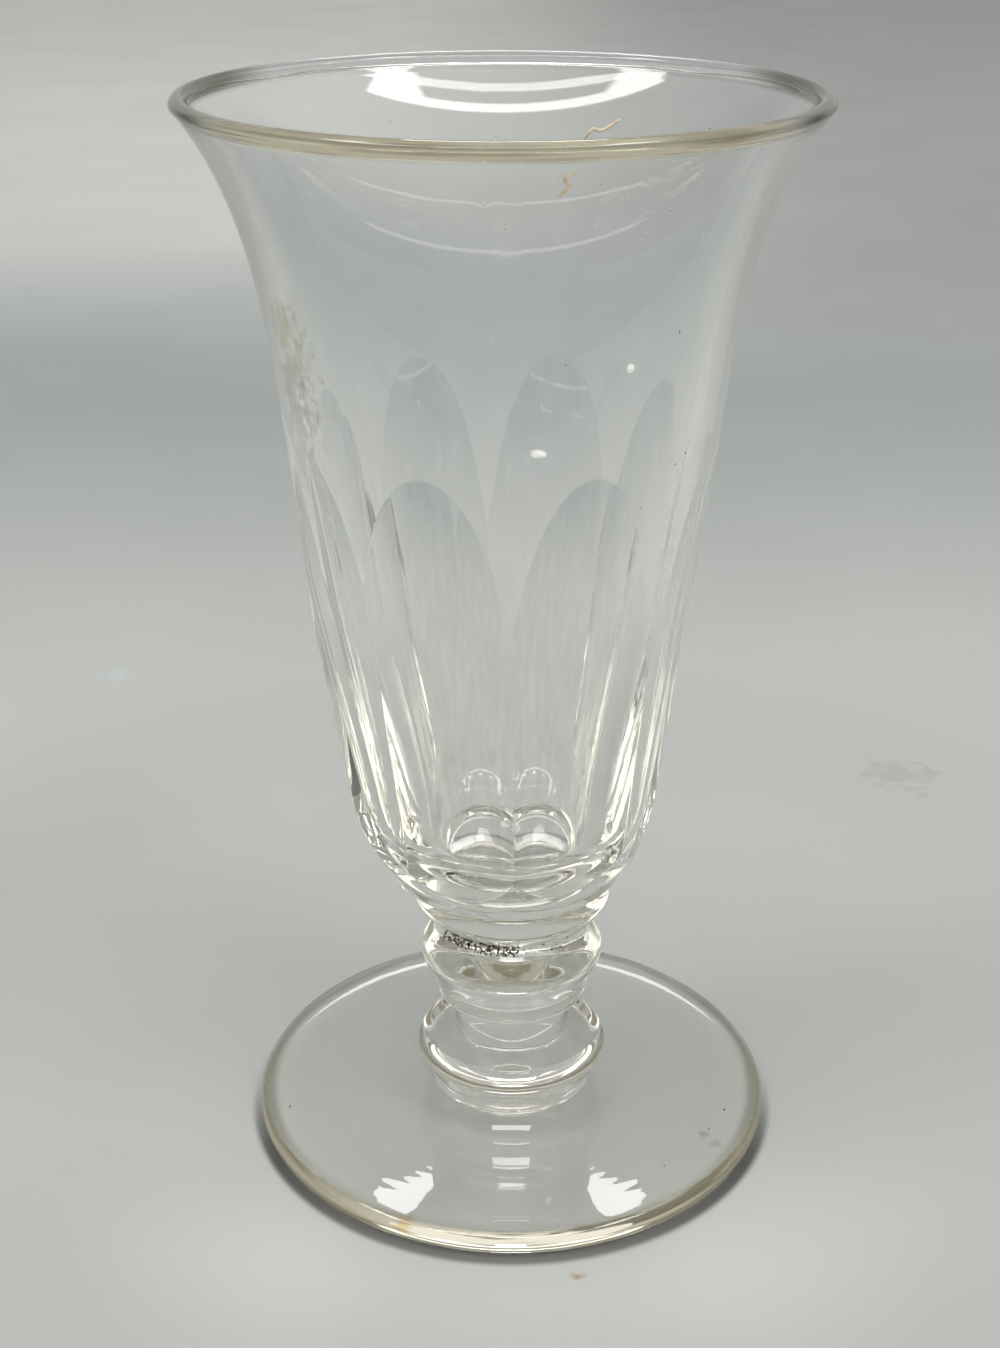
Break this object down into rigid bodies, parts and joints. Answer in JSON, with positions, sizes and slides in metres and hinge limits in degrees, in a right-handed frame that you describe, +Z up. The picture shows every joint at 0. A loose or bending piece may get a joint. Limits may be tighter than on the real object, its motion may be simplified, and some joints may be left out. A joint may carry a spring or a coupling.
{
  "type": "jelly glass",
  "caption": "Small heavy stemmed glass: a flared bowl with cut flutes ending in round arches, on a short knopped stem and a round foot, for serving set jelly.",
  "frame": {"origin": "on the bowl's axis, on the plane of the foot's contact ring", "axes": "+Z up along the bowl's axis, towards the lip; -Y towards the picture's viewer; +X to the picture's right, the side to which the stem and foot stand 1.1 mm off"},
  "size_m": [0.0628, 0.0628, 0.115],
  "materials": {
    "glass": "clear old glass, faintly grey-green, polished, with fine grinding streaks in the flutes and light wear"
  },
  "bodies": {
    "root": {"jelly_glass": "glass"}
  },
  "joints": []
}
